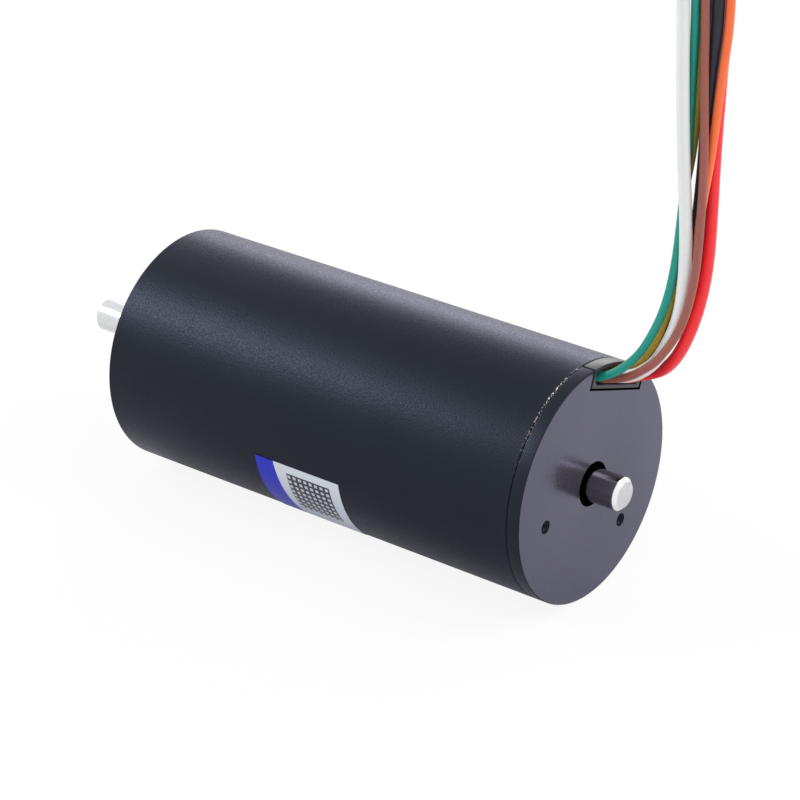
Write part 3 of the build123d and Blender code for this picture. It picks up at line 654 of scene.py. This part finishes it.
# %% Ground steel
ground, tree, shader, place = new_material("ground_shaft_steel", Metallic=1.0)
squeeze = add(tree, "Mapping", {"Vector": place, "Scale": (1 / (0.1 * MM), 60, 60)})
lines = add(tree, "TexNoise", {"Vector": squeeze.outputs["Vector"], "Scale": 1.0, "Detail": 3.0})
along = add(tree, "SeparateXYZ", {"Vector": place}).outputs["X"]
rear_reflection_share = add(tree, "MapRange", {"Value": along, "From Min": 40 * MM, "From Max": 70 * MM})
chamfer_highlight_share = add(tree, "MapRange", {"Value": along, "From Min": (rear_end - 0.65) * MM,
                                "From Max": (rear_end - 0.55) * MM})
on_end = add(tree, "MapRange", {"Value": along, "From Min": (rear_end - 0.1) * MM,
                                "From Max": (rear_end - 0.05) * MM})
# painted reflection: from 40 mm to 70 mm the steel turns from pale to a dark warm grey
journal_painted_reflection = add(tree, "Mix", {0: rear_reflection_share.outputs["Result"], 6: linear("#DCDDE0"), 7: linear("#8E898C")},
              data_type="RGBA")
# painted highlight: the rear chamfer is painted near white
chamfer_painted_highlight = add(tree, "Mix", {0: chamfer_highlight_share.outputs["Result"], 6: journal_painted_reflection.outputs[2], 7: linear("#F2F2F4")},
                data_type="RGBA")
strokes = add(tree, "Mapping", {"Vector": place, "Scale": (1, 1 / (0.12 * MM), 1 / (1.6 * MM))})
brush = add(tree, "TexNoise", {"Vector": strokes.outputs["Vector"], "Scale": 1.0, "Detail": 2.0})
brushed = add(tree, "Mix", {0: brush.outputs["Fac"], 6: linear("#BFBFC4"), 7: linear("#F4F4F6")},
              data_type="RGBA")
steel = add(tree, "Mix", {0: on_end.outputs["Result"], 6: chamfer_painted_highlight.outputs[2], 7: brushed.outputs[2]},
            data_type="RGBA")
gloss = add(tree, "MapRange", {"Value": lines.outputs["Fac"], "To Min": 0.16, "To Max": 0.2})
lift = add(tree, "Bump", {"Height": lines.outputs["Fac"], "Distance": 0.0003 * MM, "Strength": 1.0})
tree.links.new(steel.outputs[2], shader.inputs["Base Color"])
tree.links.new(gloss.outputs["Result"], shader.inputs["Roughness"])
tree.links.new(lift.outputs["Normal"], shader.inputs["Normal"])
paint(ground, shaft)
print("nodes in the ground steel:", len(tree.nodes))

# %% [markdown]
# ## Plastics, film and sleeves
# The outlet is moulded from black plastic and keeps a dull skin. Lead sleeves are smooth soft vinyl with
# an even shine, and each colour is one material. Both get a specular level a little under 0.5, because
# white walls all round would otherwise lay a pale veil over their colours. The stripped ends are
# tinned copper, a pale metal with a fine grain.

# %% Plastics
moulded = mottled("moulded_black_plastic", "#353640", "#3B3C46", 0.0, 0.34, 0.05, 0.2, 0.004,
                  Specular_IOR_Level=0.4)
paint(moulded, outlet)
sleeve_colours = {
    "green": ("#139382", "#189A89"), "brown": ("#9A574C", "#A46256"), "orange": ("#FF713A", "#FF7B44"),
    "yellow": ("#C9A62F", "#CFAE3A"), "white": ("#E9EBEB", "#EEF0EF"), "black": ("#26242F", "#2E2C3A"),
    "blue": ("#2450A8", "#2A58B0"), "red": ("#FF303A", "#FF3842"),
}
tinned = mottled("tinned_copper_wire", "#C0C2C6", "#D2D4D8", 1.0, 0.3, 0.06, 0.1, 0.002)
for colour, (first, second) in sleeve_colours.items():
    sleeve = mottled(f"{colour}_vinyl_sleeve", first, second, 0.0, 0.36, 0.04, 0.5, 0.004,
                     Specular_IOR_Level=0.36)
    paint(sleeve, leads[colour])
    paint(tinned, bare_ends[colour])
print("sleeve colours:", len(sleeve_colours))

# %% [markdown]
# ## The label's print
# A label is a polyester film with printed fields under a thin gloss. Here it carries plain fields only: a
# slanted blue band at one end, a pale field, and a dark panel with an even grid of light squares. The blue
# band and the pale field are painted darker towards the tube's underside: that is painted shade. All
# edges are placed in millimetres on the label's ruler: a comparison gives 1 inside a field and 0 outside.

# %% Printed label
band_width, band_slant = 3.4, 0.1
panel_along, panel_around, panel_half = 9.6, 5.4, 4.0
half_step, half_square = 0.5, 0.28
film, tree, shader, _ = new_material("printed_polyester_film", Roughness=0.32, Specular_IOR_Level=0.3)
ruler_map = add(tree, "UVMap", uv_map="ruler")
split = add(tree, "SeparateXYZ", {"Vector": ruler_map.outputs["UV"]})
u_mm, v_mm = split.outputs["X"], split.outputs["Y"]
slant = add(tree, "Math", {0: v_mm, 1: band_slant, 2: band_width}, operation="MULTIPLY_ADD")
band = add(tree, "Math", {0: u_mm, 1: slant.outputs[0]}, operation="LESS_THAN")
# painted shade: the blue and pale fields darken round the tube towards its underside
fade = add(tree, "MapRange", {"Value": v_mm, "From Min": 0.0, "From Max": label_reach}).outputs["Result"]
blue = add(tree, "Mix", {0: fade, 6: linear("#1622BE"), 7: linear("#1220AA")}, data_type="RGBA")
pale = add(tree, "Mix", {0: fade, 6: linear("#D6DCE4"), 7: linear("#B6BFD2")}, data_type="RGBA")
fields = add(tree, "Mix", {0: band.outputs[0], 6: pale.outputs[2], 7: blue.outputs[2]}, data_type="RGBA")
from_side = add(tree, "Math", {0: u_mm, 1: panel_along}, operation="SUBTRACT")
side_off = add(tree, "Math", {0: from_side.outputs[0]}, operation="ABSOLUTE")
from_top = add(tree, "Math", {0: v_mm, 1: panel_around}, operation="SUBTRACT")
top_off = add(tree, "Math", {0: from_top.outputs[0]}, operation="ABSOLUTE")
far_off = add(tree, "Math", {0: side_off.outputs[0], 1: top_off.outputs[0]}, operation="MAXIMUM")
panel = add(tree, "Math", {0: far_off.outputs[0], 1: panel_half}, operation="LESS_THAN")
u_wave = add(tree, "Math", {0: u_mm, 1: half_step}, operation="PINGPONG")
v_wave = add(tree, "Math", {0: v_mm, 1: half_step}, operation="PINGPONG")
u_square = add(tree, "Math", {0: u_wave.outputs[0], 1: half_square}, operation="LESS_THAN")
v_square = add(tree, "Math", {0: v_wave.outputs[0], 1: half_square}, operation="LESS_THAN")
squares = add(tree, "Math", {0: u_square.outputs[0], 1: v_square.outputs[0]}, operation="MULTIPLY")
panel_tone = add(tree, "Mix", {0: squares.outputs[0], 6: linear("#34363F"), 7: linear("#C2C9D4")},
                 data_type="RGBA")
printed = add(tree, "Mix", {0: panel.outputs[0], 6: fields.outputs[2], 7: panel_tone.outputs[2]},
              data_type="RGBA")
tree.links.new(printed.outputs[2], shader.inputs["Base Color"])
paint(film, label)
print("blue band:", band_width, "mm wide, panel:", 2 * panel_half, "mm square")

# %% [markdown]
# ## Pieces inside
# The winding, magnet, yoke, board and bearings keep their plain solids. Each still gets the finish that
# the real piece has, because the model can be opened. Varnish leaves the yoke's steel a dull dark grey,
# and the film inside it is clear amber. Enamel turns copper wire to a glossy red brown with an uneven
# skin. Solder mask is a smooth green, and a sensor's epoxy a dull black. Zinc plating is pale and even,
# rolled spring steel darker, nickel a warm near mirror. Turned brass is yellow with soft gloss, hardened
# and polished bearing steel mirrors most of all, and pressed sheet less.

# %% Materials of the inner pieces
inner_finishes = {
    mottled("varnished_lamination_steel", "#3E3F46", "#4C4D55", 0.6, 0.5, 0.06, 0.5, 0.01): ["stator_yoke"],
    mottled("amber_polyimide_film", "#A06A22", "#B27A2C", 0.0, 0.3, 0.04, 1.0, 0.002): ["yoke_liner"],
    mottled("enamelled_copper_winding", "#8A3F1C", "#B05A2C", 0.4, 0.35, 0.06, 0.3, 0.03): ["winding"],
    mottled("green_solder_mask", "#1B5236", "#22603F", 0.0, 0.35, 0.04, 0.6, 0.004): ["hall_board"],
    mottled("black_epoxy_package", "#17171B", "#202026", 0.0, 0.5, 0.05, 0.15, 0.004): ["hall_sensors"],
    mottled("zinc_plated_steel", "#A3A5AA", "#B4B6BA", 1.0, 0.35, 0.06, 0.2, 0.003): [
        "board_screws", "front_shim"],
    mottled("rolled_spring_steel", "#75777D", "#86888E", 1.0, 0.38, 0.06, 0.3, 0.003): ["spring_washer"],
    mottled("nickel_plated_magnet", "#B3B1AA", "#C0BEB8", 1.0, 0.25, 0.05, 0.6, 0.003): ["rotor_magnet"],
    mottled("turned_brass", "#B08D4A", "#BE9A55", 1.0, 0.3, 0.05, 0.2, 0.004): [
        "front_balance_ring", "rear_balance_ring"],
    mottled("polished_bearing_steel", "#BFC1C6", "#CDCFD3", 1.0, 0.14, 0.03, 0.4, 0.001): [
        "bearing_balls", "front_bearing_outer_ring", "rear_bearing_outer_ring",
        "front_bearing_inner_ring", "rear_bearing_inner_ring"],
    mottled("pressed_steel_sheet", "#9FA1A6", "#AFB1B5", 1.0, 0.3, 0.05, 0.4, 0.002): [
        "front_bearing_cage", "rear_bearing_cage", "front_bearing_shields", "rear_bearing_shields"],
}
for material, names in inner_finishes.items():
    paint(material, *[frame["nodes"][name] for name in names])
paint(blasted, rear_threads, front_threads)
print("finishes inside:", len(inner_finishes))

# %% [markdown]
# ## What rides on what
# Everything fixed belongs to the stator. Only the shaft turns with the rotor, and the inner bearing
# pieces are frame nodes that already know their body.

# %% Bodies
fixed = [tube, cap, flange, rear_threads, front_threads, outlet, label, *leads.values(), *bare_ends.values()]
for thing in fixed:
    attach(thing, "stator")
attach(shaft, "rotor")
print("fixed pieces:", len(fixed), "and one that turns")

# %% [markdown]
# ## The floor
# The motor lies on a white paper sweep. Seen by the camera, the floor is nearly white of itself and keeps
# only a breath of shadow. Mirrored in metal it is mostly the lit paper with a little of that white, so
# that the turned rear face, which mirrors it, stays a calm grey.

# %% Floor
floor_reach, floor_z = 6.0, -body_radius * MM
corners = [(x, y, floor_z) for x, y in floor_reach * np.array([(-1, -1), (1, -1), (1, 1), (-1, 1)])]
floor_mesh = bpy.data.meshes.new("floor")
floor_mesh.from_pydata(corners, [], [(0, 1, 2, 3)])
floor = bpy.data.objects.new("floor", floor_mesh)
bpy.context.scene.collection.objects.link(floor)
white_floor = bpy.data.materials.new("white_paper_sweep")
white_floor.use_nodes = True
tree = white_floor.node_tree
tree.nodes.clear()
path = add(tree, "LightPath").outputs
direct = add(tree, "Math", {0: path["Is Camera Ray"], 1: path["Is Transmission Ray"]}, operation="MAXIMUM")
mirrored = add(tree, "Math", {0: path["Is Glossy Ray"], 1: 0.2}, operation="MULTIPLY")
share = add(tree, "Math", {0: direct.outputs[0], 1: 0.88, 2: mirrored.outputs[0]}, operation="MULTIPLY_ADD")
paper = add(tree, "BsdfDiffuse", {"Color": (0.86, 0.86, 0.86, 1)})
glow = add(tree, "Emission", {"Color": (1, 1, 1, 1), "Strength": 1.02})
sweep = add(tree, "MixShader", {0: share.outputs[0], 1: paper.outputs[0], 2: glow.outputs[0]})
add(tree, "OutputMaterial", {"Surface": sweep.outputs[0]})
floor.data.materials.append(white_floor)
print("floor at", round(floor_z / MM, 1), "mm")

# %% [markdown]
# ## The world
# A room with white walls stands round the motor. The camera and all mirrors see it plain white. The light
# that it gives to everything is full at the horizon and dimmer overhead, so that shapes keep their shade.

# %% World
world = bpy.data.worlds.new("studio")
bpy.context.scene.world = world
world.use_nodes = True
tree = world.node_tree
tree.nodes.clear()
sky = add(tree, "TexCoord")
height = add(tree, "SeparateXYZ", {"Vector": sky.outputs["Generated"]})
rise = add(tree, "MapRange", {"Value": height.outputs["Z"], "From Min": 0.15, "From Max": 0.75,
                              "To Min": 1.0, "To Max": 0.52})
room = add(tree, "Background", {"Color": (1, 1, 1, 1), "Strength": rise.outputs["Result"]})
white = add(tree, "Background", {"Color": (1, 1, 1, 1), "Strength": 1.0})
path = add(tree, "LightPath").outputs
seen = add(tree, "Math", {0: path["Is Camera Ray"], 1: path["Is Glossy Ray"]}, operation="MAXIMUM")
seen_all = add(tree, "Math", {0: seen.outputs[0], 1: path["Is Transmission Ray"]}, operation="MAXIMUM")
backdrop = add(tree, "MixShader", {0: seen_all.outputs[0], 1: room.outputs[0], 2: white.outputs[0]})
add(tree, "OutputWorld", {"Surface": backdrop.outputs[0]})
print("world nodes:", len(tree.nodes))

# %% [markdown]
# ## Lamps
# Three soft boxes. A big one behind and above draws the pale line along the tube's crown. One in front
# and to the left lays the broad soft shine along the tube's near side, which shows the blasted skin's
# grain. A small one at the right lifts the leads and the rear side. Each was placed by working backwards:
# the line of sight to a shine, mirrored in the surface there, points at its lamp.

# %% Lamps
def soft_box(name, place, target, width, height, watts):
    """An area lamp at place that faces target, both in metres."""
    lamp = bpy.data.lights.new(name, "AREA")
    lamp.shape, lamp.size, lamp.size_y, lamp.energy = "RECTANGLE", width, height, watts
    holder = bpy.data.objects.new(name, lamp)
    bpy.context.scene.collection.objects.link(holder)
    back = np.array(place, float) - np.array(target, float)
    back /= np.linalg.norm(back)
    right = np.cross([0, 0, 1.0], back)
    right /= np.linalg.norm(right)
    up = np.cross(back, right)
    turn = np.eye(4)
    turn[:3, 0], turn[:3, 1], turn[:3, 2], turn[:3, 3] = right, up, back, place
    holder.matrix_world = Matrix(turn.tolist())


soft_box("crown_box", (-0.26, 1.12, 0.36), (0.035, 0, 0), 1.2, 0.42, 4.7)
soft_box("front_box", (-0.68, -0.45, 0.6), (0.035, 0, 0), 0.6, 0.25, 3.0)
soft_box("right_box", (0.61, 0.235, 0.745), (0.07, 0, 0), 0.4, 0.4, 3.0)
print("soft boxes:", len(bpy.data.lights))

# %% [markdown]
# ## Camera
# The camera stands where the photographer's did. Its place, turn and focal length were fitted to the
# outlines of the rear face, the seam, the front edge and the shafts.

# %% Camera
lens = bpy.data.cameras.new("camera")
lens.sensor_width = 36.0
lens.lens = 137.6
camera = bpy.data.objects.new("camera", lens)
bpy.context.scene.collection.objects.link(camera)
camera.matrix_world = Matrix((
    (0.7926, -0.2745, 0.5445, 0.28628),
    (0.6098, 0.3568, -0.7077, -0.31800),
    (0.0, 0.8929, 0.4503, 0.20502),
    (0, 0, 0, 1),
))
lens.clip_start, lens.clip_end = 0.01, 50
bpy.context.scene.camera = camera
print("camera at", [round(v, 3) for v in camera.matrix_world.translation], "with a", lens.lens, "mm lens")
bpy.context.scene.view_settings.view_transform = "Standard"

# %% [markdown]
# ## Last update
# The last cell brings every piece's place up to date.

# %% Update the scene
bpy.context.view_layer.update()
